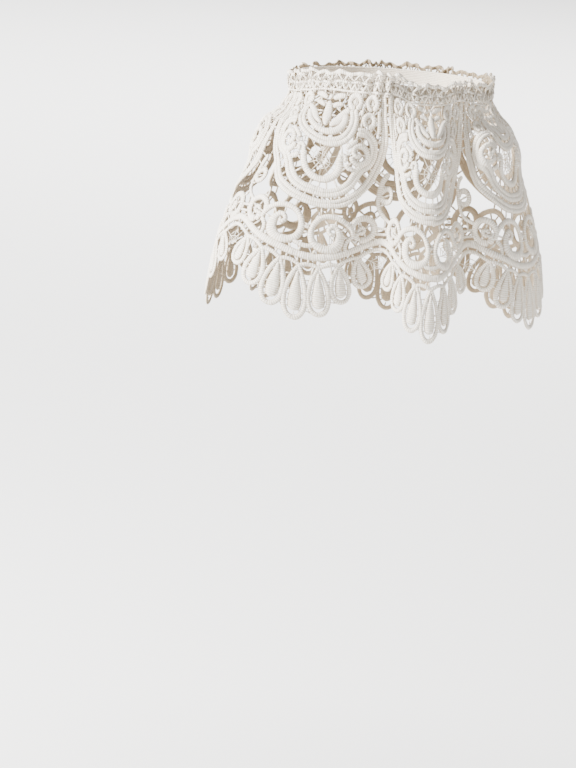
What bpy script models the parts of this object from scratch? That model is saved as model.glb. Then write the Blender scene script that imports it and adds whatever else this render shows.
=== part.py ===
"""A lace boot cuff: one strip of guipure lace gathered on a ring of elastic.

The cuff hangs as it does when worn: top edge round the leg, scalloped hem
loose over the boot. Up is +Z, the toe of the boot would point to -Y, and the
origin is the centre of the elastic, where the leg holds the cuff.
"""
import math
from collections import namedtuple

import bpy
import numpy as np

# Driving dimensions, in millimetres.
REPEATS = 7                  # repeats of the lace pattern round the cuff
REPEAT_WIDTH = 60.0          # flat width of one repeat
DROP_MIDDLE = 105.0          # flat height at the middle of a scallop
DROP_CUSP = 82.0             # flat height between two scallops
WALL = 1.5                   # thickness of the corded lace
RIM_RADIUS = 39.0            # middle of the lace at the elastic
RIM_SWELL = 0.8              # how far each repeat swells out even there
ELASTIC_HEIGHT = 6.0
ELASTIC_THICK = 1.0
ELASTIC_TOP = 1.5            # elastic starts this far below the top edge
GAP = 0.3                    # clear space between sewn pieces
SEAM_FLUTE = 5               # the strip's ends meet in the fold where this flute starts
COLUMNS = 18                 # facets across one repeat
ROWS = 17                    # facets down the strip
MM = 0.001

# How the strip falls. Each repeat makes one soft flute between two inward
# folds. A pair is (degrees from the toe, millimetres from the leg's axis).
# pinch: where the repeat's first edge is caught on the elastic, in degrees.
# The lifts are how much higher than even the lace is sewn on, in millimetres,
# in the fold and at the middle of the flute.
Flute = namedtuple("Flute", "pinch fold_mid fold_hem "
                            "left_mid left_hem right_mid right_hem fold_lift lift")
FLUTES = [
    Flute(-75, (-65, 46.0), (-53, 51.5), (-46, 51.0), (-38, 62.0), (-27, 56.5), (-20, 73.5), -1.0, -1.3),
    Flute(-24, (-13, 54.5), (-5, 78.0), (5, 56.0), (6, 78.0), (29, 50.0), (27, 64.5), -0.5, 2.5),
    Flute(44, (48, 41.0), (45, 54.0), (55, 54.0), (56, 65.0), (65, 57.0), (66, 67.5), 3.5, -0.5),
    Flute(92, (87, 46.0), (85, 58.0), (88, 57.0), (91, 67.5), (110, 56.5), (117, 68.5), 1.3, -1.0),
    Flute(143, (134, 54.0), (135, 66.0), (152, 55.5), (150, 64.5), (175, 52.5), (174, 57.5), 1.5, 0.0),
    Flute(191, (185, 40.5), (186, 44.0), (206, 45.5), (206, 49.5), (235, 44.5), (236, 49.0), 1.0, 0.8),
    Flute(235, (250, 37.5), (252, 41.5), (256, 52.5), (257, 56.5), (278, 55.0), (283, 59.0), 0.8, -0.3),
]

# Share of the rim, middle and hem outlines at each height down the strip.
Level = namedtuple("Level", "down rim mid hem")
LEVELS = [
    Level(0, 1.00, 0.00, 0.00),
    Level(8, 1.00, 0.00, 0.00),
    Level(16, 0.76, 0.24, 0.00),
    Level(28, 0.24, 0.76, 0.00),
    Level(40, 0.00, 1.00, 0.00),
    Level(58, 0.00, 0.60, 0.40),
    Level(83, 0.00, 0.10, 0.90),
    Level(105, 0.00, -0.11, 1.11),
]


def empty_scene():
    for thing in list(bpy.data.objects):
        bpy.data.objects.remove(thing)


def smooth_table(xs, ys, x):
    """A curve through the table that never overshoots between its rows."""
    width = np.diff(xs)
    slope = np.diff(ys) / width
    ends = np.zeros(len(xs))
    for i in range(1, len(xs) - 1):
        if slope[i - 1] * slope[i] > 0:
            a = 2 * width[i] + width[i - 1]
            b = width[i] + 2 * width[i - 1]
            ends[i] = (a + b) / (a / slope[i - 1] + b / slope[i])
    ends[-1] = slope[-1]
    i = min(max(int(np.searchsorted(xs, x)) - 1, 0), len(width) - 1)
    s = (x - xs[i]) / width[i]
    rise = ys[i] * (1 + 2 * s) * (1 - s) ** 2 + ys[i + 1] * s * s * (3 - 2 * s)
    return rise + width[i] * s * (1 - s) * (ends[i] * (1 - s) - ends[i + 1] * s)


def plan_point(degrees, radius):
    turn = math.radians(degrees)
    return np.array([radius * math.sin(turn), -radius * math.cos(turn)])


def plan_controls(down):
    """The closed outline's control points at one height: three to a flute."""
    downs = [level.down for level in LEVELS]
    rim, mid, hem = [smooth_table(downs, [level[c] for level in LEVELS], down) for c in (1, 2, 3)]
    points = []
    for k, flute in enumerate(FLUTES):
        after = FLUTES[(k + 1) % REPEATS].pinch + (360 if k == REPEATS - 1 else 0)
        for n, share in enumerate((0.0, 0.3, 0.7)):
            on_rim = plan_point(flute.pinch + share * (after - flute.pinch),
                                RIM_RADIUS + (RIM_SWELL if n else 0.0))
            on_mid = plan_point(*flute[1 + 2 * n])
            on_hem = plan_point(*flute[2 + 2 * n])
            points.append(rim * on_rim + mid * on_mid + hem * on_hem)
    return points


def curve_span(p0, p1, p2, p3, steps):
    """A centripetal curve from p1 to p2, without its last point."""
    a = math.dist(p0, p1) ** 0.5
    b = math.dist(p1, p2) ** 0.5
    c = math.dist(p2, p3) ** 0.5
    leave = p2 - p1 + b * ((p1 - p0) / a - (p2 - p0) / (a + b))
    reach = p2 - p1 + b * ((p3 - p2) / c - (p3 - p1) / (b + c))
    s = np.linspace(0, 1, steps, endpoint=False)[:, None]
    ends = (1 + 2 * s) * (1 - s) ** 2 * p1 + s * s * (3 - 2 * s) * p2
    return ends + s * (1 - s) ** 2 * leave - s * s * (1 - s) * reach


def plan_row(down, per_repeat):
    """The strip's plan at one height, evenly spaced along the cloth."""
    c = plan_controls(down)
    n = len(c)
    spans = [curve_span(c[i - 1], c[i], c[(i + 1) % n], c[(i + 2) % n], 24) for i in range(n)]
    crowd = 0.35 * max(0.0, 1 - down / 40)
    share = np.arange(per_repeat) / per_repeat
    share = share - crowd * np.sin(2 * math.pi * share) / (2 * math.pi)
    row = []
    for k in range(REPEATS):
        line = np.vstack(spans[3 * k:3 * k + 3] + [spans[(3 * k + 3) % n][:1]])
        run = np.concatenate([[0], np.cumsum(np.hypot(*np.diff(line, axis=0).T))])
        at = share * run[-1]
        row.append(np.stack([np.interp(at, run, line[:, 0]), np.interp(at, run, line[:, 1])], 1))
    return np.vstack(row)


def sewn_lift(per_repeat):
    """The uneven height of the top edge, column by column."""
    along = 2 * np.arange(REPEATS * per_repeat) / per_repeat
    before = np.floor(along).astype(int)
    blend = (1 - np.cos(math.pi * (along - before))) / 2
    lift = np.array([rise for flute in FLUTES for rise in (flute.fold_lift, flute.lift)])
    return lift[before % len(lift)] * (1 - blend) + lift[(before + 1) % len(lift)] * blend


def hang(per_repeat, step=1.0):
    """The middle of the cloth: (heights down the strip, columns, xyz) in mm.

    Where the plan moves outward the cloth leans, so it drops less. The cloth
    resists shear, so neighbouring columns share their drop.
    """
    count = int(DROP_MIDDLE / step) + 1
    plan = np.array([plan_row(j * step, per_repeat) for j in range(count)])
    moved = np.hypot(*np.moveaxis(np.diff(plan, axis=0), -1, 0))
    drop = np.sqrt(np.maximum(step ** 2 - moved ** 2, (0.35 * step) ** 2))
    z = np.zeros(plan.shape[:2])
    spacing = REPEAT_WIDTH / per_repeat
    for j in range(1, count):
        z[j] = z[j - 1] - drop[j - 1]
    for j in range(count):
        reach = max(1, round(min(38.0, 3 + 0.45 * j * step) / spacing))
        weight = 1 + np.cos(math.pi * np.arange(-reach, reach + 1) / (reach + 1))
        shifted = [np.roll(z[j], k) for k in range(-reach, reach + 1)]
        z[j] = np.average(shifted, axis=0, weights=weight)
    z += sewn_lift(per_repeat) + ELASTIC_TOP + ELASTIC_HEIGHT / 2
    return np.dstack([plan, z])


def strip_depth(share):
    """Flat height of the lace at a place across one repeat, 0 to 1."""
    return DROP_CUSP + (DROP_MIDDLE - DROP_CUSP) * math.sin(math.pi * share) ** 0.8


def lace_grid():
    """Points down and across the strip, cut to its scalloped edge."""
    cloth = hang(COLUMNS)
    grid = []
    for row in range(ROWS + 1):
        line = []
        for col in range(REPEATS * COLUMNS):
            share = (row / ROWS) ** 0.92
            down = share * strip_depth(col % COLUMNS / COLUMNS)
            low = min(int(down), len(cloth) - 2)
            line.append(cloth[low, col] + (down - low) * (cloth[low + 1, col] - cloth[low, col]))
        grid.append(line)
    return np.array(grid)


def outward(grid):
    across = np.roll(grid, -1, axis=1) - np.roll(grid, 1, axis=1)
    along = np.gradient(grid, axis=0)
    normal = np.cross(across, along)
    normal *= -1 if (normal * grid * [1, 1, 0]).sum() < 0 else 1
    return normal / np.linalg.norm(normal, axis=2, keepdims=True)


def new_material(name, colour, roughness):
    material = bpy.data.materials.new(name)
    material.use_nodes = True
    shader = material.node_tree.nodes["Principled BSDF"]
    shader.inputs["Base Color"].default_value = (*colour, 1.0)
    shader.inputs["Roughness"].default_value = roughness
    return material


def new_solid(name, points, faces, material):
    mesh = bpy.data.meshes.new(name)
    mesh.from_pydata([tuple(float(v) * MM for v in p) for p in points], [], faces)
    mesh.validate()
    mesh.materials.append(material)
    solid = bpy.data.objects.new(name, mesh)
    bpy.context.collection.objects.link(solid)
    return solid


def lace_ruffle():
    """The lace as one wall. Its two short ends meet at a seam, just apart."""
    grid = lace_grid()
    normal = outward(grid)
    seam = SEAM_FLUTE * COLUMNS
    grid = np.roll(grid, -seam, axis=1)
    normal = np.roll(normal, -seam, axis=1)
    along = grid[:, 1] - grid[:, 0]
    back = grid[:, 0] - grid[:, -1]
    along /= np.linalg.norm(along, axis=1, keepdims=True)
    back /= np.linalg.norm(back, axis=1, keepdims=True)
    ends = grid[:, 0] - back * GAP / 2
    grid = np.concatenate([grid, ends[:, None]], axis=1)
    normal = np.concatenate([normal, normal[:, :1]], axis=1)
    grid[:, 0] += along * GAP / 2
    outer = grid + normal * WALL / 2
    inner = grid - normal * WALL / 2
    wide = grid.shape[1]
    points = np.vstack([outer.reshape(-1, 3), inner.reshape(-1, 3)])
    half = (ROWS + 1) * wide
    faces = []
    for r in range(ROWS):
        for c in range(wide - 1):
            a = r * wide + c
            faces.append((a, a + wide, a + wide + 1, a + 1))
            faces.append((half + a, half + a + 1, half + a + wide + 1, half + a + wide))
        for c, flip in ((0, False), (wide - 1, True)):
            a = r * wide + c
            end = (a, half + a, half + a + wide, a + wide)
            faces.append(end[::-1] if flip else end)
    for r, flip in ((0, True), (ROWS, False)):
        for c in range(wide - 1):
            a = r * wide + c
            edge = (a, half + a, half + a + 1, a + 1)
            faces.append(edge[::-1] if flip else edge)
    return new_solid("lace_ruffle", points, faces, new_material("ivory_lace", (0.85, 0.80, 0.72), 0.85))


def elastic_band():
    """The woven elastic sewn inside the top edge, a plain closed ring."""
    outer = RIM_RADIUS - WALL / 2 - GAP
    inner = outer - ELASTIC_THICK
    around = 96
    high = ELASTIC_HEIGHT / 2
    corners = [(outer, high), (outer, -high), (inner, -high), (inner, high)]
    points = []
    faces = []
    for k in range(around):
        turn = 2 * math.pi * k / around
        points += [(r * math.sin(turn), -r * math.cos(turn), z) for r, z in corners]
        for n in range(4):
            a, b = 4 * k + n, 4 * k + (n + 1) % 4
            c, d = [(v + 4) % (4 * around) for v in (a, b)]
            faces.append((a, b, d, c))
    return new_solid("elastic_band", points, faces, new_material("ivory_elastic", (0.80, 0.75, 0.67), 0.8))


empty_scene()
lace_ruffle()
elastic_band()
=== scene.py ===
# %% [markdown]
# # A guipure lace boot cuff
# The cuff is one strip of thick ivory lace, gathered on a ring of elastic. It hangs as it does
# when worn: the elastic grips the leg, and the scalloped hem falls loose over the boot.
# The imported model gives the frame. It holds the lace as a plain wall, which this script replaces
# with real cords, threads and petals that follow the same folds.

# %% Start
import math
from collections import namedtuple

import bpy
import numpy as np
from mathutils import Matrix, Vector


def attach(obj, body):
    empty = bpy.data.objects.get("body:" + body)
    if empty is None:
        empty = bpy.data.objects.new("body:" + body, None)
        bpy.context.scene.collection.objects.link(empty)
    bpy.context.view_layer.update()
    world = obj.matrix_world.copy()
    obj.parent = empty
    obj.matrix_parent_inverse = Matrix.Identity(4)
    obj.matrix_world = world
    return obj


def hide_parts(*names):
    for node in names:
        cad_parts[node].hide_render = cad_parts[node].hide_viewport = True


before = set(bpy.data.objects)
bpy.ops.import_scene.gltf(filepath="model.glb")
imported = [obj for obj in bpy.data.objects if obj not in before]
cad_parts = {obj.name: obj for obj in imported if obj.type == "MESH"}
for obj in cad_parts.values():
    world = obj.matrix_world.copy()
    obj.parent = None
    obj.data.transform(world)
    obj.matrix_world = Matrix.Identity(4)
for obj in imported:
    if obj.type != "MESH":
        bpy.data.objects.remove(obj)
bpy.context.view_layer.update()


MM = 0.001

# %% [markdown]
# ## Sizes
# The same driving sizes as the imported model, in millimetres, and the same two tables for the way
# the strip falls. One row of FLUTES is one repeat of the pattern, between two inward folds.

# %% Sizes and fold tables
REPEATS = 7
WIDE = 60.0                  # flat width of one repeat
DROP = 105.0                 # flat height at the longest petal
RIM_RADIUS = 39.0            # middle of the lace at the elastic
RIM_SWELL = 0.8
ELASTIC_HEIGHT = 6.0
ELASTIC_THICK = 1.0
ELASTIC_TOP = 1.5
WALL = 1.5
GAP = 0.3
SEAM_REPEAT = 5              # the strip's ends meet where this repeat starts

# A pair is (degrees from the toe, millimetres from the leg's axis). The lifts are how much
# higher than even the lace is sewn on, in the fold and at the flute's middle, in millimetres.
Flute = namedtuple("Flute", "pinch fold_mid fold_hem "
                            "left_mid left_hem right_mid right_hem fold_lift lift")
FLUTES = [
    Flute(-75, (-65, 46.0), (-53, 51.5), (-46, 51.0), (-38, 62.0), (-27, 56.5), (-20, 73.5),
          -1.0, -1.3),
    Flute(-24, (-13, 54.5), (-5, 78.0), (5, 56.0), (6, 78.0), (29, 50.0), (27, 64.5),
          -0.5, 2.5),
    Flute(44, (48, 41.0), (45, 54.0), (55, 54.0), (56, 65.0), (65, 57.0), (66, 67.5),
          3.5, -0.5),
    Flute(92, (87, 46.0), (85, 58.0), (88, 57.0), (91, 67.5), (110, 56.5), (117, 68.5),
          1.3, -1.0),
    Flute(143, (134, 54.0), (135, 66.0), (152, 55.5), (150, 64.5), (175, 52.5), (174, 57.5),
          1.5, 0.0),
    Flute(191, (185, 40.5), (186, 44.0), (206, 45.5), (206, 49.5), (235, 44.5), (236, 49.0),
          1.0, 0.8),
    Flute(235, (250, 37.5), (252, 41.5), (256, 52.5), (257, 56.5), (278, 55.0), (283, 59.0),
          0.8, -0.3),
]
Level = namedtuple("Level", "down rim mid hem")
LEVELS = [
    Level(0, 1.00, 0.00, 0.00),
    Level(8, 1.00, 0.00, 0.00),
    Level(16, 0.76, 0.24, 0.00),
    Level(28, 0.24, 0.76, 0.00),
    Level(40, 0.00, 1.00, 0.00),
    Level(58, 0.00, 0.60, 0.40),
    Level(83, 0.00, 0.10, 0.90),
    Level(105, 0.00, -0.11, 1.11),
]
random = np.random.default_rng(7)
print("strip", REPEATS * WIDE, "x", DROP, "mm")

# %% [markdown]
# ## How the strip hangs
# Seen from above, the gathered strip is a ring at the elastic and a deep wave at the hem. Three
# plan outlines, at the rim, the middle and the hem, come from the fold table. The level table says
# how much of each one counts at each height, with a curve that never overshoots between rows.

# %% The plan outlines


def smooth_table(xs, ys, x):
    """A curve through the table that never overshoots between its rows."""
    width = np.diff(xs)
    slope = np.diff(ys) / width
    ends = np.zeros(len(xs))
    for i in range(1, len(xs) - 1):
        if slope[i - 1] * slope[i] > 0:
            a = 2 * width[i] + width[i - 1]
            b = width[i] + 2 * width[i - 1]
            ends[i] = (a + b) / (a / slope[i - 1] + b / slope[i])
    ends[-1] = slope[-1]
    i = min(max(int(np.searchsorted(xs, x)) - 1, 0), len(width) - 1)
    s = (x - xs[i]) / width[i]
    rise = ys[i] * (1 + 2 * s) * (1 - s) ** 2 + ys[i + 1] * s * s * (3 - 2 * s)
    return rise + width[i] * s * (1 - s) * (ends[i] * (1 - s) - ends[i + 1] * s)


def plan_point(degrees, radius):
    turn = math.radians(degrees)
    return np.array([radius * math.sin(turn), -radius * math.cos(turn)])


def plan_controls(down):
    downs = [level.down for level in LEVELS]
    rim, mid, hem = [smooth_table(downs, [level[c] for level in LEVELS], down) for c in (1, 2, 3)]
    points = []
    for k, flute in enumerate(FLUTES):
        after = FLUTES[(k + 1) % REPEATS].pinch + (360 if k == REPEATS - 1 else 0)
        for n, share in enumerate((0.0, 0.3, 0.7)):
            on_rim = plan_point(flute.pinch + share * (after - flute.pinch),
                                RIM_RADIUS + (RIM_SWELL if n else 0.0))
            on_mid = plan_point(*flute[1 + 2 * n])
            on_hem = plan_point(*flute[2 + 2 * n])
            points.append(rim * on_rim + mid * on_mid + hem * on_hem)
    return points


print("plan points a row", len(plan_controls(0.0)))

# %% [markdown]
# A smooth closed curve goes through the plan points of a row. The columns are then spaced evenly
# along it, repeat by repeat, so the lace pattern keeps its width. Near the elastic they crowd
# towards the folds, where the gathers are.

# %% The rows
CURVE_STEPS = 24
CROWD, CROWD_DOWN = 0.35, 40.0


def curve_span(p0, p1, p2, p3, steps):
    """A centripetal curve from p1 to p2, without its last point."""
    a, b, c = [max(math.dist(p[:2], q[:2]), 0.05) ** 0.5 for p, q in ((p0, p1), (p1, p2), (p2, p3))]
    leave = p2 - p1 + b * ((p1 - p0) / a - (p2 - p0) / (a + b))
    reach = p2 - p1 + b * ((p3 - p2) / c - (p3 - p1) / (b + c))
    s = np.linspace(0, 1, steps, endpoint=False)[:, None]
    ends = (1 + 2 * s) * (1 - s) ** 2 * p1 + s * s * (3 - 2 * s) * p2
    return ends + s * (1 - s) ** 2 * leave - s * s * (1 - s) * reach


def plan_row(down, per_repeat):
    c = plan_controls(down)
    n = len(c)
    spans = [curve_span(c[i - 1], c[i], c[(i + 1) % n], c[(i + 2) % n], CURVE_STEPS)
             for i in range(n)]
    crowd = CROWD * max(0.0, 1 - down / CROWD_DOWN)
    share = np.arange(per_repeat) / per_repeat
    share = share - crowd * np.sin(2 * math.pi * share) / (2 * math.pi)
    row = []
    for k in range(REPEATS):
        line = np.vstack(spans[3 * k:3 * k + 3] + [spans[(3 * k + 3) % n][:1]])
        run = np.concatenate([[0], np.cumsum(np.hypot(*np.diff(line, axis=0).T))])
        at = share * run[-1]
        row.append(np.stack([np.interp(at, run, line[:, 0]), np.interp(at, run, line[:, 1])], 1))
    return np.vstack(row)


print("columns in a row of 10 to a repeat", len(plan_row(0.0, 10)))

# %% [markdown]
# Cloth doesn't stretch, so where the plan moves outward the strip leans and drops less. The drop is
# smoothed along the strip, more towards the hem, since the cloth's own stiffness shares it out. The
# top edge is sewn on by hand, and is a little higher here and lower there.

# %% The heights
FLATTEST = 0.35              # the least a row drops, as a share of the step
SMOOTH_FROM, SMOOTH_MORE, SMOOTH_MOST = 3.0, 0.45, 38.0


def sewn_lift(per_repeat):
    """The uneven height of the top edge, column by column."""
    along = 2 * np.arange(REPEATS * per_repeat) / per_repeat
    before = np.floor(along).astype(int)
    blend = (1 - np.cos(math.pi * (along - before))) / 2
    lift = np.array([rise for flute in FLUTES for rise in (flute.fold_lift, flute.lift)])
    return lift[before % len(lift)] * (1 - blend) + lift[(before + 1) % len(lift)] * blend


def hang(per_repeat, step=1.0):
    """The middle of the cloth: (heights down the strip, columns, xyz) in mm."""
    count = int(DROP / step) + 1
    plan = np.array([plan_row(j * step, per_repeat) for j in range(count)])
    moved = np.hypot(*np.moveaxis(np.diff(plan, axis=0), -1, 0))
    drop = np.sqrt(np.maximum(step ** 2 - moved ** 2, (FLATTEST * step) ** 2))
    z = np.zeros(plan.shape[:2])
    spacing = WIDE / per_repeat
    for j in range(1, count):
        z[j] = z[j - 1] - drop[j - 1]
    for j in range(count):
        reach = max(1, round(min(SMOOTH_MOST, SMOOTH_FROM + SMOOTH_MORE * j * step) / spacing))
        weight = 1 + np.cos(math.pi * np.arange(-reach, reach + 1) / (reach + 1))
        shifted = [np.roll(z[j], k) for k in range(-reach, reach + 1)]
        z[j] = np.average(shifted, axis=0, weights=weight)
    z += sewn_lift(per_repeat) + ELASTIC_TOP + ELASTIC_HEIGHT / 2
    return np.dstack([plan, z])


def outward(grid):
    across = np.roll(grid, -1, axis=1) - np.roll(grid, 1, axis=1)
    normal = np.cross(across, np.gradient(grid, axis=0))
    normal *= -1 if (normal * grid * [1, 1, 0]).sum() < 0 else 1
    return normal / np.linalg.norm(normal, axis=2, keepdims=True)


print("the top edge rises and dips", sewn_lift(2).round(1).tolist())

# %% [markdown]
# Elastic pulls 42 cm of lace into 24 cm, so small upright gathers crowd just under it. They are
# deepest in the inward folds, uneven, and die out before the middle of the medallions. Smaller
# crumples run across the heading itself.

# %% The gathers
PER_REPEAT = 100             # columns of cloth to a repeat
GATHERS_PER_REPEAT = 7
GATHER_DEPTH = 3.2
GATHERS_DOWN, GATHERS_DOWN_FOLD = 15, 18
CRUMPLES_PER_REPEAT = 11
CRUMPLE_DEPTH = 1.3
CRUMPLES_DOWN = 12
EDGE_WAVE, EDGE_WANDER, EDGE_DOWN = 0.55, 0.5, 9


def gathers(cloth):
    """How far the gathers stand out, and how far they lift the top edge, at every place."""
    down = np.arange(len(cloth))[:, None]
    along = np.arange(cloth.shape[1])[None, :] * WIDE / PER_REPEAT
    turn = 2 * math.pi * along / WIDE
    edge = 0.5 + 0.5 * np.cos(turn)
    wander = 1.1 * np.sin(turn * 2 + 0.7) + 0.8 * np.sin(turn / 7 * 5) + 0.02 * down
    ripple = 0.5 + 0.5 * np.sin(turn * GATHERS_PER_REPEAT + wander)
    reach = GATHERS_DOWN + GATHERS_DOWN_FOLD * edge
    fade = np.clip(1 - down / reach, 0, 1) ** 1.2
    fade = fade * (0.45 + 0.55 * np.clip((down - 1) / ELASTIC_HEIGHT, 0, 1))
    uneven = 0.8 + 0.35 * np.sin(turn / 7 * 11 + 1.3)
    stand = GATHER_DEPTH * fade * ripple * (0.36 + 0.64 * edge ** 1.5) * uneven
    crumple = np.sin(turn * CRUMPLES_PER_REPEAT + 2.4 * np.sin(turn / 7 * 9) + 0.45 * down)
    crumple = CRUMPLE_DEPTH * (0.5 + 0.5 * crumple) * uneven
    stand = stand + crumple * np.clip(1 - down / CRUMPLES_DOWN, 0, 1)
    lift = EDGE_WAVE * np.sin(turn * GATHERS_PER_REPEAT + wander + 0.9)
    lift = lift + EDGE_WANDER * np.sin(turn / 7 * 23 + 0.4)
    return stand, lift * np.clip(1 - down / EDGE_DOWN, 0, 1)


CLOTH = hang(PER_REPEAT)
stand, lift = gathers(CLOTH)
CLOTH += outward(CLOTH) * stand[..., None]
CLOTH[..., 2] += lift
CLOTH_OUT = outward(CLOTH)
print("lowest cloth", round(float(CLOTH[..., 2].min()), 1), "mm")

# %% [markdown]
# Everything from here on is drawn flat, as the maker draws it, and one function puts it on the
# hanging cloth. It takes how far along the strip, how far down, and how far off the cloth.

# %% From flat to hanging


def place(along, down, off):
    """Flat lace places, and distances off the cloth's middle, to places in the room, in metres."""
    x = np.mod(along, REPEATS * WIDE) * PER_REPEAT / WIDE
    y = np.clip(down, 0, len(CLOTH) - 1.001)
    i, j = x.astype(int), y.astype(int)
    fx, fy = (x - i)[..., None], (y - j)[..., None]
    right = (i + 1) % CLOTH.shape[1]
    i = i % CLOTH.shape[1]

    def mix(field):
        top = field[j, i] * (1 - fx) + field[j, right] * fx
        low = field[j + 1, i] * (1 - fx) + field[j + 1, right] * fx
        return top * (1 - fy) + low * fy

    below = (down - y)[..., None] * np.array([0, 0, -1.0])
    return (mix(CLOTH) + mix(CLOTH_OUT) * np.asarray(off)[..., None] + below) * MM


corner = place(np.zeros(1), np.zeros(1), np.zeros(1))
print("the strip's first corner hangs at", corner.round(4).tolist())

# %% [markdown]
# ## Drawing the lace flat
# Guipure lace is embroidery with no ground: every line is a satin-stitched cord, and thin thread
# bars hold the cords together. The design is drawn once, flat, for one repeat: across from the
# repeat's middle, down from the top edge, and half the cord's width, all in millimetres.

# %% Lines and arcs
Cord = namedtuple("Cord", "zone path high")
CORDS = []
STEP = 0.42                  # a stitch ridge is two steps
EDGE = WIDE / 2 + 1.2        # cords that run on into the next repeat overlap it a little
FIGURE_TOP = 3.0             # the figure starts this far below the top edge


def curve(points, step=STEP):
    """A smooth line through the points, cut into even steps."""
    p = np.array(points, float)
    p = np.vstack([2 * p[0] - p[1], p, 2 * p[-1] - p[-2]])
    spans = [curve_span(*p[i - 1:i + 3], 16) for i in range(1, len(p) - 2)]
    line = np.vstack(spans + [p[-2][None]])
    run = np.concatenate([[0], np.cumsum(np.hypot(*np.diff(line[:, :2], axis=0).T))])
    at = np.linspace(0, run[-1], max(2, round(run[-1] / step)) + 1)
    return np.stack([np.interp(at, run, line[:, c]) for c in range(3)], 1)


def arc(across, down, radius, start, end, half, end_radius=None, end_half=None):
    """Points round a centre. Degrees: 0 is straight down, and more turns towards the right."""
    share = np.linspace(0, 1, max(4, int(abs(end - start) / 20) + 1))
    turn = np.radians(start + (end - start) * share)
    radii = radius + ((radius if end_radius is None else end_radius) - radius) * share
    halves = half + ((half if end_half is None else end_half) - half) * share
    return [(across + r * math.sin(a), down + r * math.cos(a), w)
            for r, a, w in zip(radii, turn, halves)]


def curve_corners(points):
    """Straight runs between the points, cut into even steps."""
    p = np.array(points, float)
    run = np.concatenate([[0], np.cumsum(np.hypot(*np.diff(p[:, :2], axis=0).T))])
    at = np.linspace(0, run[-1], round(run[-1] / STEP) + 1)
    return np.stack([np.interp(at, run, p[:, c]) for c in range(3)], 1)


def flip(points):
    return [(-p[0], p[1], p[2]) for p in points]


def both_ways(points):
    """A line that starts at the left and is carried on by its own mirror image."""
    return points + flip(points[:-1])[::-1]


def sideways(line, distance):
    slope = np.stack([np.gradient(line[:, 0]), np.gradient(line[:, 1])], 1)
    slope /= np.maximum(np.hypot(*slope.T), 1e-9)[:, None]
    moved = line.copy()
    moved[:, 0] -= slope[:, 1] * distance
    moved[:, 1] += slope[:, 0] * distance
    return moved


def lay(zone, line, high, top=FIGURE_TOP):
    """Adds one cord at its place on the strip."""
    line[:, 1] += top
    CORDS.append(Cord(zone, line, high))


def cord(zone, points, high, mirror=False):
    lay(zone, curve(points), high)
    if mirror:
        lay(zone, curve(flip(points)), high)


def twin_cord(zone, points, high, apart, half):
    """Two satin cords side by side, with a groove between them."""
    line = curve(points)
    line[:, 2] = half
    for side in (-apart, apart):
        lay(zone, sideways(line, side), high)


# %% [markdown]
# ## The medallions
# Each repeat has one shield-shaped medallion: a wide twin-cord border, a three-lobed band inside
# it, a rosette like a lotus, a bowl under a spider web, and spiral roses in the side lobes.

# %% Medallion
HeadingCord = namedtuple("HeadingCord", "down half high")
HEADING_CORDS = [HeadingCord(0.8, 0.8, 0.6), HeadingCord(4.7, 0.55, 0.5),
                 HeadingCord(8.1, 0.5, 0.4)]
Zigzag = namedtuple("Zigzag", "upper lower half pitch")
HEADING_ZIGZAGS = [Zigzag(1.5, 4.2, 0.42, 2.5), Zigzag(5.1, 7.6, 0.5, 1.5)]
ZIGZAG_HIGH = 0.45


def heading():
    """The straight top edge: three cords with close zigzags between them."""
    for row in HEADING_CORDS:
        line = [(across, row.down, row.half) for across in (-EDGE, 0, EDGE)]
        lay("heading", curve(line), row.high, top=0)
    for zigzag in HEADING_ZIGZAGS:
        count = round(WIDE / zigzag.pitch)
        line = [(zigzag.pitch * n - WIDE / 2, zigzag.upper if n % 2 else zigzag.lower, zigzag.half)
                for n in range(count + 1)]
        lay("heading", curve_corners(line), ZIGZAG_HIGH, top=0)


def medallion():
    half_border = [(-27.3, 5.6, 1), (-27.5, 14, 1), (-27.2, 24, 1), (-25.9, 31, 1),
                   (-23.3, 37.2, 1), (-19.5, 43.3, 1), (-14.9, 48.4, 1), (-9.6, 52.0, 1),
                   (-4.8, 53.5, 1), (0, 53.9, 1)]
    twin_cord("border", both_ways(half_border), 0.72, 0.86, 1.04)
    half_lobes = [(-13.4, 21.6, 1), (-17.8, 22.2, 1), (-21.2, 25.4, 1), (-21.8, 29.8, 1),
                  (-20.2, 33.8, 1), (-16.5, 36.2, 1), (-14.4, 39.4, 1), (-12.5, 43.3, 1),
                  (-9.2, 46.8, 1), (-4.8, 48.9, 1), (0, 49.3, 1)]
    twin_cord("border", both_ways(half_lobes), 0.76, 0.95, 1.14)


def inner_flowers():
    cord("flower", arc(0, 36.4, 7.5, -108, 108, 1.5), 0.9)
    cord("flower", arc(-8.6, 33.2, 1.15, 0, 350, 0.95), 0.85, mirror=True)
    cord("flower", arc(-15.3, 31.0, 3.7, 75, -205, 1.2, end_half=1.3), 0.85, mirror=True)
    cord("flower", [(-16.8, 27.4, 1.2), (-13.6, 27.6, 1.1), (-12.6, 30.2, 1.0), (-14.2, 31.6, 1.2),
                    (-15.8, 30.6, 1.0)], 0.9, mirror=True)
    cord("flower", [(-9.6, 29.4, 0.8), (-11.4, 27.2, 1.1), (-13.8, 25.2, 0.9)], 0.8, mirror=True)
    cord("flower", [(-9.8, 35.6, 0.9), (-11.4, 36.8, 1.1), (-13.6, 36.9, 0.7)], 0.8, mirror=True)


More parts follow.
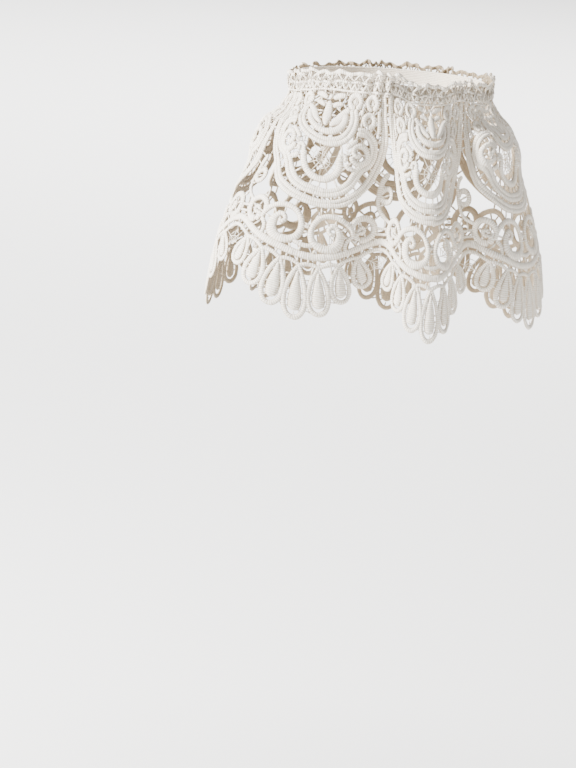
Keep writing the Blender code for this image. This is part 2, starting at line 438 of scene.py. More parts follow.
def rosette():
    twin_cord("flower", arc(0, 16.6, 12.0, -110, 110, 1), 0.82, 0.9, 1.08)
    cord("flower", arc(0, 16.2, 8.1, -100, 100, 1.45), 0.95)
    cord("flower", [(0, 22.0, 0.7), (0, 19.2, 1.8), (0, 15.2, 2.2), (0, 11.6, 1.6),
                    (0, 9.8, 0.6)], 1.05)
    cord("flower", [(-1.9, 21.6, 0.8), (-4.6, 18.6, 1.7), (-6.8, 15.0, 1.8), (-9.6, 12.2, 1.1)],
         0.95, mirror=True)
    cord("flower", [(-1.9, 12.4, 0.6), (-3.6, 11.0, 1.2), (-6.3, 10.6, 0.9)], 0.8, mirror=True)
    cord("flower", [(0, 8.6, 0.8), (0, 6.9, 1.2)], 0.8)
    cord("flower", [(-1.4, 8.6, 0.8), (-4.0, 7.4, 1.4), (-7.2, 6.9, 0.9)], 0.85, mirror=True)


def shoulders():
    cord("flower", arc(-11.8, 9.2, 2.65, 0, 350, 1.25), 0.85, mirror=True)
    cord("flower", arc(-20.5, 9.6, 2.6, 0, 350, 1.2), 0.8, mirror=True)
    cord("flower", arc(-18.9, 16.9, 2.5, 20, 370, 1.2), 0.8, mirror=True)
    cord("flower", [(-24.1, 12.6, 0.7), (-24.2, 17.5, 1.1), (-23.6, 22.4, 0.6)], 0.75, mirror=True)
    cord("flower", [(-15.6, 12.0, 0.6), (-15.4, 13.4, 0.9), (-15.0, 15.0, 0.5)], 0.8, mirror=True)


# %% [markdown]
# ## The scrolls, the wavy band and the petals
# Below the medallions run two comma scrolls and two snails to a repeat, with a ringed tendril
# where the medallions part. Then comes a wavy band, and seven petals to each scallop.

# %% Hem
TROUGH_DOWN, BAND_RISE, BAND_BEND = 76.2, 10.3, 1.7
FESTOON_BELOW = 4.1
FESTOON_DIP, CREST_DIP = 1.0, 0.9
PETAL_PITCH = 7.1


def band_down(across):
    """How far down the wavy band runs: a round trough under each medallion, a crest between."""
    share = (abs(across + WIDE / 2) % WIDE - WIDE / 2) / (WIDE / 2)
    return TROUGH_DOWN - BAND_RISE * (1 - max(1 - share ** 2, 0) ** BAND_BEND)


def festoon_down(across):
    return band_down(across) + FESTOON_BELOW


def scrolls():
    comma = [(18.2, 64.6, 0.9), (16.5, 61.2, 1.1), (12.9, 58.6, 1.15), (8.6, 57.8, 1.15),
             (4.7, 59.4, 1.15), (2.4, 62.8, 1.15), (1.9, 66.6, 1.2), (3.3, 69.9, 1.4),
             (6.8, 71.6, 1.8), (10.6, 71.0, 2.0), (12.7, 68.4, 2.0), (12.7, 65.4, 1.8),
             (11.4, 62.7, 1.2), (9.5, 61.9, 1.0), (8.3, 63.4, 0.9), (9.3, 64.9, 0.9),
             (10.7, 64.4, 0.6)]
    cord("hem", comma, 0.95, mirror=True)
    cord("hem", arc(21.8, 61.2, 4.9, -80, -372, 1.2, end_radius=4.5, end_half=1.6), 0.9,
         mirror=True)
    cord("hem", [(20.6, 65.8, 1.4), (19.3, 64.0, 1.2), (20.2, 62.4, 1.1)], 0.9, mirror=True)
    cord("hem", arc(21.3, 61.6, 1.1, -60, 290, 0.95), 0.95, mirror=True)
    cord("hem", [(17.6, 64.6, 1.0), (15.8, 67.4, 0.85), (16.1, 70.6, 0.8), (17.8, 72.4, 0.8)],
         0.65, mirror=True)
    cord("hem", [(-3.8, 71.4, 0.9), (0, 72.3, 0.95), (3.8, 71.4, 0.9)], 0.65)
    cord("hem", [(-1.4, 64.6, 0.75), (1.4, 64.6, 0.75)], 0.6)
    for down in (60.4, 62.9):
        cord("hem", [(27.2, down, 0.6), (30, down + 0.15, 0.55), (32.8, down, 0.6)], 0.5)


def tendril():
    cord("hem", [(29.9, 37.6, 1.1), (27.4, 41.2, 1.15), (26.6, 46.2, 1.05), (27.2, 51.4, 0.85),
                 (29.4, 55.2, 0.8), (32.6, 57.4, 0.8), (35.0, 58.4, 0.9)], 0.7)
    cord("hem", arc(30.2, 46.8, 2.75, -90, 262, 1.25), 0.85)


def wavy_band():
    places = np.linspace(-EDGE, EDGE, 53)
    cord("hem", [(u, band_down(u), 1.5) for u in places], 0.85)
    line = []
    for u in np.linspace(-EDGE, EDGE, 63):
        beyond = (abs(u) - 3 * PETAL_PITCH) / (WIDE / 2 - 3 * PETAL_PITCH)
        rise = FESTOON_DIP * abs(math.sin(math.pi * u / PETAL_PITCH))
        if beyond > 0:
            rise = CREST_DIP * math.sin(math.pi / 2 * beyond)
        line.append((u, festoon_down(u) - rise, 0.8))
    cord("hem", line, 0.6)


# %% [markdown]
# Each petal is a loop of cord round a fat satin leaf. The middle one is the longest, and the ones
# beside it are shorter and lean outward.

# %% Petals
LOOP_HALF, ROOT_HALF = 0.95, 0.7
LOOP_STEPS = 12
LOOP_FAT = 1.3               # makes the widest place of the loop as wide as the table says
Petal = namedtuple("Petal", "long half lean")
PETALS = [Petal(21.6, 4.9, 0), Petal(19.2, 4.75, 6), Petal(15.6, 4.5, 12), Petal(12.6, 4.2, 20)]
# The leaf in the loop: share of the petal's length, and share of the loop's clear width.
LEAF = [(0.10, 0.15), (0.25, 0.40), (0.42, 0.68), (0.58, 0.83), (0.70, 0.83), (0.79, 0.64),
        (0.83, 0.35)]


def petal(number):
    """One petal: a corded loop round a fat satin leaf. Number 0 hangs at the middle."""
    kind = PETALS[abs(number)]
    lean = math.radians(kind.lean) * (1 if number > 0 else -1)
    root = (PETAL_PITCH * number, festoon_down(PETAL_PITCH * number))

    def at(x, y, half):
        return (root[0] + math.sin(lean) * y + math.cos(lean) * x,
                root[1] + math.cos(lean) * y - math.sin(lean) * x, half)

    side = []
    for k in range(LOOP_STEPS + 1):
        turn = math.pi * k / LOOP_STEPS
        side.append((LOOP_FAT * (kind.half - LOOP_HALF) * math.sin(turn) * math.sin(turn / 2),
                     (kind.long - LOOP_HALF) * (1 - math.cos(turn)) / 2,
                     ROOT_HALF + (LOOP_HALF - ROOT_HALF) * min(1, k / 5)))
    other = [(-x, y, w) for x, y, w in side[-2::-1]]
    cord("petal", [at(x, y, w) for x, y, w in side + other], 0.65)
    clear = kind.half - 2 * LOOP_HALF
    cord("petal", [at(0, share * kind.long, clear * fat) for share, fat in LEAF], 0.95)


heading()
medallion()
inner_flowers()
rosette()
shoulders()
scrolls()
tendril()
wavy_band()
for number in range(-3, 4):
    petal(number)
ZONES = ("heading", "border", "flower", "hem", "petal")
print("cords to a repeat", {zone: sum(c.zone == zone for c in CORDS) for zone in ZONES})

# %% [markdown]
# ## Thread bars
# Between neighbouring cords the machine leaves short bars of twisted thread. A raster of the
# cords finds the narrow gaps: from each cord's edge a bar runs straight out until it meets the
# next cord. Petals have finer bars, closer together.

# %% Bars
CELLS = 10                   # raster cells to a millimetre
Bar = namedtuple("Bar", "start end half")
BarRule = namedtuple("BarRule", "longest spacing half")
OPEN_RULE = BarRule(3.0, 3.0, 0.5)
PETAL_RULE = BarRule(1.6, 2.1, 0.3)
SHORTEST_BAR = 0.3
BAR_HOLD = 0.6               # how far a bar's ends run into the cords


def cord_raster():
    filled = np.zeros((int((DROP + 6) * CELLS), int(WIDE * CELLS)), bool)
    for c in CORDS:
        for across, down, half in c.path:
            r = int(half * CELLS) + 1
            jj, ii = np.mgrid[-r:r + 1, -r:r + 1]
            disc = jj ** 2 + ii ** 2 <= (half * CELLS) ** 2
            rows = np.clip(round(down * CELLS) + jj[disc], 0, len(filled) - 1)
            filled[rows, (round((across + WIDE / 2) * CELLS) + ii[disc]) % filled.shape[1]] = True
    return filled


def gap_from(filled, start, way, longest):
    """How far the open gap runs from start, or None if it doesn't close in time."""
    for k in range(1, int(longest * CELLS) + 1):
        q = start + way * k / CELLS
        row = round(q[1] * CELLS)
        if not 0 <= row < len(filled):
            return None
        if filled[row, round((q[0] + WIDE / 2) * CELLS) % filled.shape[1]]:
            return k / CELLS
    return None


def bars_beside(filled, c, bars):
    """Adds the bars that start at one cord's two edges."""
    rule = PETAL_RULE if c.zone == "petal" else OPEN_RULE
    line = c.path
    slope = np.stack([np.gradient(line[:, 0]), np.gradient(line[:, 1])], 1)
    slope /= np.maximum(np.hypot(*slope.T), 1e-9)[:, None]
    for side in (1, -1):
        for i in range(2, len(line) - 1, 3):
            way = side * np.array([-slope[i, 1], slope[i, 0]])
            edge = line[i, :2] + way * (line[i, 2] + 0.15)
            gap = gap_from(filled, edge, way, rule.longest)
            if gap is None or gap < SHORTEST_BAR:
                continue
            middle = edge + way * gap / 2
            near = [math.hypot((middle[0] - (b.start + b.end)[0] / 2 + WIDE / 2) % WIDE - WIDE / 2,
                               middle[1] - (b.start + b.end)[1] / 2) for b in bars]
            if near and min(near) < rule.spacing:
                continue
            bars.append(Bar(edge - way * BAR_HOLD, edge + way * (gap + BAR_HOLD), rule.half))


raster = cord_raster()
BARS = []
for c in CORDS:
    bars_beside(raster, c, BARS)
print(len(BARS), "bars to a repeat")

# %% [markdown]
# The larger rings and the medallion's middle hold spider webs: spokes run out from the middle to
# the cords round it, and two rings of thread join the spokes. Each web is a little uneven.

# %% Webs
Web = namedtuple("Web", "across down spokes reach")
WEBS = [Web(0, 36.2, 12, 8), Web(0, 33.0, 7, 6), Web(-10.6, 31.2, 6, 5), Web(10.6, 31.2, 6, 5),
        Web(-20.5, 9.6, 7, 4), Web(20.5, 9.6, 7, 4), Web(-11.8, 9.2, 6, 4), Web(11.8, 9.2, 6, 4),
        Web(-18.9, 16.9, 6, 4), Web(18.9, 16.9, 6, 4), Web(-14.6, 23.0, 5, 4),
        Web(14.6, 23.0, 5, 4), Web(30, 75.5, 6, 9), Web(19.8, 69.3, 6, 4),
        Web(-19.8, 69.3, 6, 4)]
WEB_HALF = 0.2
WEB_HOLD = 0.4
WEB_RINGS = (0.34, 0.68)
WIDEST_RING = 3.6


def find_webs(filled):
    threads = []
    for web in WEBS:
        middle = np.array([web.across, web.down + FIGURE_TOP])
        reached = []
        for k in range(web.spokes):
            turn = 2 * math.pi * (k + random.uniform(-0.25, 0.25)) / web.spokes
            way = np.array([math.sin(turn), math.cos(turn)])
            gap = gap_from(filled, middle, way, web.reach)
            if gap is not None:
                threads.append(Bar(middle, middle + way * (gap + WEB_HOLD), WEB_HALF))
                reached.append((way, gap))
        for share in WEB_RINGS:
            ring = [middle + way * min(gap * share * random.uniform(0.85, 1.15), WIDEST_RING)
                    for way, gap in reached]
            threads += [Bar(a, b, WEB_HALF) for a, b in zip(ring, ring[1:] + ring[:1])]
    return threads


SPIDERS = find_webs(raster)
print(len(SPIDERS), "web threads to a repeat")

# %% [markdown]
# The shoulders of the medallion hold a fine diamond net. Slanting lines cross the raster both
# ways, and wherever a line runs open from one cord to the next, a thread is laid.

# %% Nets
Net = namedtuple("Net", "left right top bottom")
NETS = [Net(-27, -8, 4, 27), Net(8, 27, 4, 27)]
NET_HALF = 0.17
NET_PITCH = 1.9
NET_SHORTEST, NET_LONGEST = 0.5, 8.0
NET_HOLD = 0.3


def open_runs(filled, start, way, length):
    """The open stretches of a straight line that a cord closes at both ends."""
    steps = np.arange(0, length, 1 / CELLS)
    rows = np.clip(np.round((start[1] + way[1] * steps) * CELLS).astype(int), 0, len(filled) - 1)
    columns = np.round((start[0] + way[0] * steps + WIDE / 2) * CELLS).astype(int)
    solid = filled[rows, columns % filled.shape[1]]
    edges = np.flatnonzero(np.diff(solid.astype(int)))
    return [(steps[a], steps[b]) for a, b in zip(edges, edges[1:]) if not solid[a + 1]]


def find_nets(filled):
    """A diamond net of fine threads over the shoulders, between the cords that it meets."""
    threads = []
    for net in NETS:
        width = net.right - net.left
        for lean in (1, -1):
            way = np.array([1, lean]) / math.sqrt(2)
            for down in np.arange(net.top - width, net.bottom + width, NET_PITCH * math.sqrt(2)):
                start = np.array([net.left, down + FIGURE_TOP])
                for a, b in open_runs(filled, start, way, width * math.sqrt(2)):
                    middle_down = start[1] + way[1] * (a + b) / 2 - FIGURE_TOP
                    if not net.top < middle_down < net.bottom:
                        continue
                    if NET_SHORTEST < b - a < NET_LONGEST:
                        threads.append(Bar(start + way * (a - NET_HOLD),
                                           start + way * (b + NET_HOLD), NET_HALF))
    return threads


NET_THREADS = find_nets(raster)
print(len(NET_THREADS), "net threads to a repeat")

# %% [markdown]
# ## From flat cords to the hanging lace
# A cord is swept along its line with a domed section, flatter on the wrong side. Every second
# ring stands a little proud, which gives the beaded look of satin stitches over a core. The ends
# are rounded over two rings.

# %% Sweeping
SECTION = [(-1.0, 0.0), (-0.78, 0.62), (-0.30, 0.97), (0.30, 0.97), (0.78, 0.62), (1.0, 0.0),
           (0.55, -0.42), (-0.55, -0.42)]
THREAD_SECTION = [(-1.0, 0.0), (0.0, 1.0), (1.0, 0.0), (0.0, -1.0)]
TIP, BESIDE_TIP = 0.45, 0.86
PROUD = 2.4                  # a wide ring is higher too, by this many times its extra width


class Soup:
    """Points, faces and stitch coordinates gathered for one mesh."""

    def __init__(self):
        self.points, self.faces, self.caps, self.marks, self.count = [], [], [], [], 0

    def sweep(self, along, down, half, high, section, ridge=0.0, base=0.0):
        """Adds a closed tube along a line of flat places."""
        n, m = len(along), len(section)
        slope = np.stack([np.gradient(along), np.gradient(down)], 1)
        slope /= np.maximum(np.hypot(*slope.T), 1e-9)[:, None]
        side = np.array([p[0] for p in section])
        up = np.array([p[1] for p in section])
        swell = 1 + ridge * (np.arange(n) % 2 - 0.5) + ridge * random.uniform(-0.9, 0.9, n)
        round_end = np.ones(n)
        round_end[[0, -1]] = TIP
        if n > 4:
            round_end[[1, -2]] = BESIDE_TIP
        width = (half * swell * round_end)[:, None] * side
        height = (high * (1 + PROUD * (swell - 1)) * round_end)[:, None] * up + base
        self.points.append(place(along[:, None] - slope[:, 1:] * width,
                                 down[:, None] + slope[:, :1] * width, height).reshape(-1, 3))
        self.marks.append(np.stack([np.repeat(np.arange(n) * STEP, m), np.tile(up, n)], 1))
        ring = np.arange(m)
        low = self.count + (np.arange(n - 1)[:, None] * m + ring)
        nxt = self.count + (np.arange(n - 1)[:, None] * m + (ring + 1) % m)
        self.faces.append(np.stack([low, nxt, nxt + m, low + m], -1).reshape(-1, 4))
        self.caps.append(list(self.count + ring[::-1]))
        self.caps.append(list(self.count + (n - 1) * m + ring))
        self.count += n * m

    def build(self, name):
        points = np.vstack(self.points)
        faces = np.vstack(self.faces).tolist() + self.caps
        mesh = bpy.data.meshes.new(name)
        mesh.from_pydata(points.tolist(), [], faces)
        marks = np.vstack(self.marks)
        layer = mesh.uv_layers.new(name="stitches")
        corners = np.zeros(len(mesh.loops), int)
        mesh.loops.foreach_get("vertex_index", corners)
        layer.data.foreach_set("uv", marks[corners].ravel())
        for polygon in mesh.polygons:
            polygon.use_smooth = True
        piece = bpy.data.objects.new(name, mesh)
        bpy.context.collection.objects.link(piece)
        return piece


def turned_out(piece):
    """Makes every shell of a piece face outward."""
    bpy.ops.object.select_all(action="DESELECT")
    bpy.context.view_layer.objects.active = piece
    piece.select_set(True)
    bpy.ops.object.mode_set(mode="EDIT")
    bpy.ops.mesh.select_all(action="SELECT")
    bpy.ops.mesh.normals_make_consistent(inside=False)
    bpy.ops.object.mode_set(mode="OBJECT")
    piece.select_set(False)
    return piece


print("a cord has", len(SECTION), "sides and a thread has", len(THREAD_SECTION))

# %% [markdown]
# Each repeat is placed on the folds in turn. Cords wander a little from their drawn lines and
# change in width and height, so no two repeats look cast from one mould. A cord's ends stay in
# place, so that it still meets the next repeat.

# %% The lace
RIDGE = 0.036                # how much wider every second ring is
HEADING_STRAY, FIGURE_STRAY, PETAL_STRAY = 0.4, 0.2, 0.15
STRAY_EVERY, WIDTH_EVERY, FINE_EVERY, HEIGHT_EVERY = 15, 9, 3, 5     # steps between new values
FREE_AFTER = 6               # steps from an end before a cord may stray fully
THREAD_STRAY = 0.12
THREAD_BASE = 0.15


def repeat_start(k):
    return WIDE * k + WIDE / 2


def wandering(count, every):
    """Random values from -1 to 1, a fresh one every so many steps, joined by straight runs."""
    knots = np.arange(0, count + every, every)
    return np.interp(np.arange(count), knots, random.uniform(-1, 1, len(knots)))


def lace_zone(name, zone, stray):
    """All repeats of one zone's cords. Stray is how far a cord wanders from its line, in mm."""
    soup = Soup()
    for k in range(REPEATS):
        for c in CORDS:
            if c.zone != zone:
                continue
            line = c.path
            n = len(line)
            from_end = np.minimum(np.arange(n), np.arange(n)[::-1])
            free = stray * np.clip(from_end / FREE_AFTER, 0, 1)
            along = line[:, 0] + free * wandering(n, STRAY_EVERY)
            down = line[:, 1] + free * wandering(n, STRAY_EVERY)
            uneven = 1 + 0.07 * wandering(n, WIDTH_EVERY) + 0.05 * wandering(n, FINE_EVERY)
            half = line[:, 2] * uneven
            high = c.high * (random.uniform(0.92, 1.08) + 0.12 * wandering(n, HEIGHT_EVERY))
            soup.sweep(repeat_start(k) + along, down, half, high, SECTION, ridge=RIDGE)
    return turned_out(soup.build(name))


def lace_threads(name):
    soup = Soup()
    for k in range(REPEATS):
        for bar in BARS + SPIDERS + NET_THREADS:
            middle = (bar.start + bar.end) / 2 + random.uniform(-THREAD_STRAY, THREAD_STRAY, 2)
            line = np.array([bar.start, middle, bar.end])
            half = bar.half * random.uniform(0.85, 1.15) * np.array([1.15, 0.9, 1.15])
            soup.sweep(repeat_start(k) + line[:, 0], line[:, 1], half, half, THREAD_SECTION,
                       base=THREAD_BASE)
    return turned_out(soup.build(name))


top_edge = lace_zone("lace_heading", "heading", HEADING_STRAY)
borders = lace_zone("lace_medallions", "border", FIGURE_STRAY)
flowers = lace_zone("lace_rosettes", "flower", FIGURE_STRAY)
scroll_row = lace_zone("lace_scrolls_and_band", "hem", FIGURE_STRAY)
petals = lace_zone("lace_petals", "petal", PETAL_STRAY)
threads = lace_threads("lace_threads")
for piece in (top_edge, borders, flowers, scroll_row, petals, threads):
    print(piece.name, sum(len(p.vertices) - 2 for p in piece.data.polygons), "triangles")

# %% [markdown]
# ## Sewing
# The elastic is sewn on with zigzag through the heading, and the strip's ends are joined by an
# upright zigzag in a hidden fold.

# %% Stitches
TOP_PITCH, TOP_UPPER, TOP_LOWER, TOP_HALF, TOP_BASE = 2.5, 2.4, 6.3, 0.16, 0.55
SEAM_PITCH, SEAM_REACH, SEAM_HALF = 1.1, 1.5, 0.28
SEAM_FROM, SEAM_TO = 1.0, 76.0
SEAM_BASES = (0.8, -0.6)     # the zigzag shows on the right side and the wrong side


def zigzag_top():
    soup = Soup()
    count = int(REPEATS * WIDE / TOP_PITCH) * 2
    along = np.arange(count + 1) * REPEATS * WIDE / count
    down = np.where(np.arange(count + 1) % 2, TOP_LOWER, TOP_UPPER)
    half = np.full(count + 1, TOP_HALF)
    soup.sweep(along, down, half, half, THREAD_SECTION, base=TOP_BASE)
    return turned_out(soup.build("elastic_stitches"))


def zigzag_seam():
    soup = Soup()
    down = np.arange(SEAM_FROM, SEAM_TO, SEAM_PITCH)
    side = np.where(np.arange(len(down)) % 2, SEAM_REACH, -SEAM_REACH)
    half = np.full(len(down), SEAM_HALF)
    for base in SEAM_BASES:
        soup.sweep(SEAM_REPEAT * WIDE + side, down, half, half, THREAD_SECTION, base=base)
    return turned_out(soup.build("seam_stitches"))


top_stitches = zigzag_top()
seam_stitches = zigzag_seam()
print("stitch points", len(top_stitches.data.vertices), "and", len(seam_stitches.data.vertices))

# %% [markdown]
# ## The elastic
# Woven elastic is a row of rubber cores, each wrapped in yarn, so it is made as a stack of thin
# rings inside the lace's top edge.

# %% Elastic
RIBS = 9
RIB_FAT = 1.08               # ribs are a little fatter than their pitch, so they touch


def elastic():
    rib = ELASTIC_HEIGHT / RIBS
    radius = RIM_RADIUS - WALL / 2 - GAP - ELASTIC_THICK / 2
    bpy.ops.object.select_all(action="DESELECT")
    bpy.ops.mesh.primitive_torus_add(major_segments=180, minor_segments=8,
                                     major_radius=radius * MM,
                                     minor_radius=rib / 2 * MM * RIB_FAT,
                                     location=(0, 0, (-ELASTIC_HEIGHT / 2 + rib / 2) * MM))
    ring = bpy.context.object
    ring.name = "ribbed_elastic"
    stack = ring.modifiers.new("stack", "ARRAY")
    stack.count = RIBS
    stack.use_relative_offset = False
    stack.use_constant_offset = True
    stack.constant_offset_displace = (0, 0, rib * MM)
    bpy.ops.object.modifier_apply(modifier="stack")
    bpy.ops.object.transform_apply(location=True, rotation=True, scale=True)
    bpy.ops.object.shade_smooth()
    return ring


band = elastic()
print("elastic", [round(v * 1000, 1) for v in band.dimensions])

# %% [markdown]
# ## Materials
# Colours are given as sRGB hex and turned to linear light once. One small function adds a node
# with its settings and links, and one more stirs two colours together.

# %% Colours and nodes


def linear(hex_colour):
    parts = [int(hex_colour[i:i + 2], 16) / 255 for i in (1, 3, 5)]
    return [p / 12.92 if p <= 0.04045 else ((p + 0.055) / 1.055) ** 2.4 for p in parts] + [1.0]


def add_node(tree, kind, inputs=None, **settings):
    node = tree.nodes.new(kind)
    for key, value in settings.items():
        setattr(node, key, value)
    for key, value in (inputs or {}).items():
        if isinstance(value, bpy.types.NodeSocket):
            tree.links.new(value, node.inputs[key])
        else:
            node.inputs[key].default_value = value
    return node


def mix_colours(tree, factor, first, second):
    """The Mix node's colour sockets are its seventh and eighth."""
    node = add_node(tree, "ShaderNodeMix", {0: factor}, data_type="RGBA")
    for key, value in ((6, first), (7, second)):
        if isinstance(value, bpy.types.NodeSocket):
            tree.links.new(value, node.inputs[key])
        else:
            node.inputs[key].default_value = linear(value)
    return node.outputs[2]


def bumped(tree, height, depth_mm, under=None):
    inputs = {"Height": height, "Strength": 1.0, "Distance": depth_mm * MM}
    if under is not None:
        inputs["Normal"] = under
    return add_node(tree, "ShaderNodeBump", inputs).outputs["Normal"]


def dress(piece, material):
    piece.data.materials.clear()
    piece.data.materials.append(material)


print("cotton white in linear light", [round(v, 3) for v in linear("#FAF5EC")[:3]])

# %% [markdown]
# Cotton satin stitch is matt and creamy, with threads that run across each cord in ridges about
# a millimetre apart. The ridges are a bump along the cord's own stitch coordinates: the first
# counts millimetres along the cord, and the second is height over the cloth, below zero on the
# wrong side. Shade is painted into the colour: darker, warmer tones in the ridge valleys, at the
# foot of each cord and on the wrong side. Real threads are a quarter of a millimetre apart, too
# fine to show, so the ridges are drawn coarser.

# %% Cotton
COTTON = "#FAF5EC"
# painted shade in the valleys between the stitch ridges
RIDGE_VALLEY_PAINTED_SHADE = "#D5C8B2"
# painted shade at the foot of each cord, where it meets the cloth
CORD_FOOT_PAINTED_SHADE = "#AE9B7F"
# painted shade on the wrong side, which faces away from the light inside the cuff
WRONG_SIDE_PAINTED_SHADE = "#94836A"
RIDGE_PITCH = 2 * STEP
BAND_SCALE = 0.314           # band texture scale for one band to a unit
RIDGE_DEPTH, FUZZ_DEPTH = 0.11, 0.45
TWIST_PITCH, TWIST_DEPTH, TWIST_FUZZ = 0.6, 0.08, 0.1
FUZZ_SCALE, CLOUD_SCALE = 950.0, 70.0
WRONG_FROM, WRONG_TO = -0.42, -0.05  # height over the cloth where the painted shade of the wrong side fades out
FOOT_SHADE_TOP = 0.8                       # height share where the painted shade at a cord's foot has faded out to its top


def stitched_cotton(name, ridge_mm, ridge_depth, fuzz_depth):
    """Satin-stitched cotton: ridges across the cord, fine threads, a little fuzz, and painted shade
    in the valleys, at the cords' feet and on the wrong side.
    """
    material = bpy.data.materials.new(name)
    material.use_nodes = True
    tree = material.node_tree
    shader = tree.nodes["Principled BSDF"]
    marks = add_node(tree, "ShaderNodeUVMap", uv_map="stitches").outputs["UV"]
    room = add_node(tree, "ShaderNodeTexCoord").outputs["Object"]
    ridges = add_node(tree, "ShaderNodeTexWave",
                      {"Vector": marks, "Scale": BAND_SCALE / ridge_mm, "Distortion": 2.2,
                       "Detail": 2.0, "Detail Scale": 1.6}).outputs["Fac"]
    fuzz = add_node(tree, "ShaderNodeTexNoise", {"Vector": room, "Scale": FUZZ_SCALE,
                                                 "Detail": 5.0, "Roughness": 0.7}).outputs["Fac"]
    cloudy = add_node(tree, "ShaderNodeTexNoise", {"Vector": room, "Scale": CLOUD_SCALE,
                                                   "Detail": 3.0}).outputs["Fac"]
    over = add_node(tree, "ShaderNodeSeparateXYZ", {"Vector": marks}).outputs["Y"]
    # painted shade on the wrong side, fading out just below the cord's widest place
    wrong_side_shade_fade = add_node(tree, "ShaderNodeMapRange", {"Value": over, "From Min": WRONG_FROM,
                                                   "From Max": WRONG_TO}).outputs["Result"]
    # painted shade at each cord's foot, fading out towards the cord's top
    foot_shade_fade = add_node(tree, "ShaderNodeMapRange", {"Value": over, "From Min": 0.0,
                                                  "From Max": FOOT_SHADE_TOP}).outputs["Result"]
    # painted shade in the valleys between the stitch ridges, following the ridge wave
    valley_shaded = mix_colours(tree, ridges, RIDGE_VALLEY_PAINTED_SHADE, COTTON)
    # painted shade at the foot of each cord
    rounded = mix_colours(tree, foot_shade_fade, CORD_FOOT_PAINTED_SHADE, valley_shaded)
    wrong_side_shaded = mix_colours(tree, wrong_side_shade_fade, WRONG_SIDE_PAINTED_SHADE, rounded)
    shade = add_node(tree, "ShaderNodeMapRange", {"Value": cloudy, "To Min": 0.93, "To Max": 1.04})
    tone = add_node(tree, "ShaderNodeVectorMath", {0: wrong_side_shaded, 1: shade.outputs["Result"]},
                    operation="MULTIPLY")
    tree.links.new(tone.outputs["Vector"], shader.inputs["Base Color"])
    normal = bumped(tree, fuzz, fuzz_depth, bumped(tree, ridges, ridge_depth))
    tree.links.new(normal, shader.inputs["Normal"])
    shader.inputs["Roughness"].default_value = 0.85
    shader.inputs["Sheen Weight"].default_value = 0.2
    shader.inputs["Sheen Roughness"].default_value = 0.5
    shader.inputs["Specular IOR Level"].default_value = 0.25
    return material


cotton = stitched_cotton("satin_stitched_cotton", RIDGE_PITCH, RIDGE_DEPTH, FUZZ_DEPTH)
thread = stitched_cotton("twisted_cotton_thread", TWIST_PITCH, TWIST_DEPTH, TWIST_FUZZ)
for piece in (top_edge, borders, flowers, scroll_row, petals):
    dress(piece, cotton)
for piece in (threads, top_stitches, seam_stitches):
    dress(piece, thread)
print(cotton.name, "has", len(cotton.node_tree.nodes), "nodes")

# %% [markdown]
# The elastic is wrapped in ivory yarn, a little darker than the lace and slightly rough.

# %% Elastic yarn
ELASTIC_COLOUR = "#E6DDCF"
ELASTIC_SHADE = "#CDBFA9"
YARN_SCALE, YARN_DEPTH = 1800.0, 0.12


def woven_elastic(name):
    """Yarn-wrapped elastic: fine cross threads on ivory ribs."""
    material = bpy.data.materials.new(name)
    material.use_nodes = True
    tree = material.node_tree
    shader = tree.nodes["Principled BSDF"]
    room = add_node(tree, "ShaderNodeTexCoord").outputs["Object"]
    fine = add_node(tree, "ShaderNodeTexNoise", {"Vector": room, "Scale": YARN_SCALE,
                                                 "Detail": 2.0}).outputs["Fac"]
    tree.links.new(mix_colours(tree, fine, ELASTIC_SHADE, ELASTIC_COLOUR),
                   shader.inputs["Base Color"])
    tree.links.new(bumped(tree, fine, YARN_DEPTH), shader.inputs["Normal"])
    shader.inputs["Roughness"].default_value = 0.8
    shader.inputs["Sheen Weight"].default_value = 0.2
    return material


dress(band, woven_elastic("ribbed_ivory_elastic"))
print(band.name, "wears", band.data.materials[0].name)

# %% [markdown]
# ## Tying the pieces to the frame
# All the pieces ride on the one body. The lace stands for the plain wall, and the ribbed elastic
# for the band, so both are hidden. Guipure has no ground, so a zone's area is what its cords cover.


def cord_area(zone):
    """Flat area in square metres that the zone's cords cover."""
    area = 0.0
    for c in CORDS:
        if c.zone == zone:
            run = np.hypot(*np.diff(c.path[:, :2], axis=0).T)
            area += float((2 * c.path[:-1, 2] * run).sum())
    return area * REPEATS * MM * MM


for piece in (top_edge, borders, flowers, scroll_row, petals, threads, top_stitches,
              seam_stitches):
    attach(piece, "root")
    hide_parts("lace_ruffle")
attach(band, "root")
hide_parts("elastic_band")
print({zone: round(cord_area(zone), 4) for zone in ZONES}, "m2 of cord")

# %% [markdown]
# ## Stage
# A plain pale floor lies where the boot's sole would stand, under an even white sky.

# %% Stage
FLOOR_Z = -0.24
FLOOR_WIDE = 24
PAPER = "#F1F0EE"
SKY, SKY_STRENGTH = "#F4F4F5", 0.42
bpy.ops.object.select_all(action="DESELECT")
bpy.ops.mesh.primitive_plane_add(size=FLOOR_WIDE, location=(0, 0, FLOOR_Z))
floor = bpy.context.object
floor.name = "studio_floor"
paper = bpy.data.materials.new("white_studio_paper")
paper.use_nodes = True
paper_shader = paper.node_tree.nodes["Principled BSDF"]
paper_shader.inputs["Base Color"].default_value = linear(PAPER)
paper_shader.inputs["Roughness"].default_value = 0.9
dress(floor, paper)

world = bpy.data.worlds.new("soft_room")
world.use_nodes = True
world.node_tree.nodes["Background"].inputs["Color"].default_value = linear(SKY)
world.node_tree.nodes["Background"].inputs["Strength"].default_value = SKY_STRENGTH
bpy.context.scene.world = world
print("floor", FLOOR_WIDE, "m wide at", FLOOR_Z, "m")

# %% [markdown]
# ## Light
# A key from the front left rakes across the cords and shows their relief. A weak fill comes from
# the right, and a wide lamp keeps the floor behind pale.

# %% Light
MIDDLE = (0, 0, -0.04)
BEHIND = (-1.9, 1.9, FLOOR_Z)


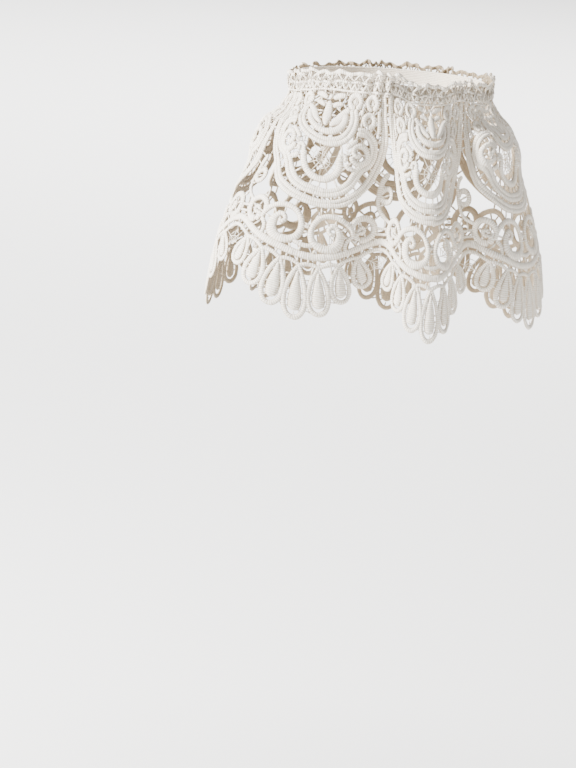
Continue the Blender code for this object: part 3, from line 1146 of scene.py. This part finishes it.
def soft_light(name, where, aim, size, power):
    data = bpy.data.lights.new(name, "AREA")
    data.shape = "DISK"
    data.size = size
    data.energy = power
    lamp = bpy.data.objects.new(name, data)
    lamp.location = where
    lamp.rotation_euler = (Vector(aim) - Vector(where)).to_track_quat("-Z", "Y").to_euler()
    bpy.context.collection.objects.link(lamp)


soft_light("key", (-0.55, -1.15, 0.6), MIDDLE, 0.35, 128)
soft_light("fill", (1.5, -0.5, 0.35), MIDDLE, 0.5, 10)
soft_light("backdrop", (-1.7, 1.7, 1.6), BEHIND, 2.6, 240)

# %% [markdown]
# ## Camera
# A long lens looks slightly down at the outer side, rolled a few degrees, with the cuff in the
# upper right of the frame where it sits on the leg.

# %% Camera
CAMERA_AZIMUTH = 45
CAMERA_ELEVATION = 5
CAMERA_ROLL = 4
CAMERA_FAR = 2.0
LENS, SENSOR_HIGH = 155, 24
AIM_LEFT, AIM_LOW = 41.5, 125.6     # millimetres from the middle of the top edge to the aim

data = bpy.data.cameras.new("camera")
data.sensor_fit = "VERTICAL"
data.sensor_height = SENSOR_HIGH
data.lens = LENS
camera = bpy.data.objects.new("camera", data)
turn = math.radians(CAMERA_AZIMUTH)
rise = math.radians(CAMERA_ELEVATION)
towards = Vector((math.sin(turn) * math.cos(rise), -math.cos(turn) * math.cos(rise),
                  math.sin(rise)))
top_middle = Vector((0, 0, (ELASTIC_TOP + ELASTIC_HEIGHT / 2) * MM))
level = (-towards).to_track_quat("-Z", "Y").to_matrix()
roll = math.radians(CAMERA_ROLL)
right, up = [(level @ Matrix.Rotation(roll, 3, "Z")).col[i] for i in (0, 1)]
aim = top_middle - (right * AIM_LEFT + up * AIM_LOW) * MM
camera.location = top_middle + towards * CAMERA_FAR
look = (aim - camera.location).to_track_quat("-Z", "Y").to_matrix()
camera.rotation_euler = (look @ Matrix.Rotation(roll, 3, "Z")).to_euler()
bpy.context.collection.objects.link(camera)
bpy.context.scene.camera = camera
print("camera at", [round(v, 2) for v in camera.location])
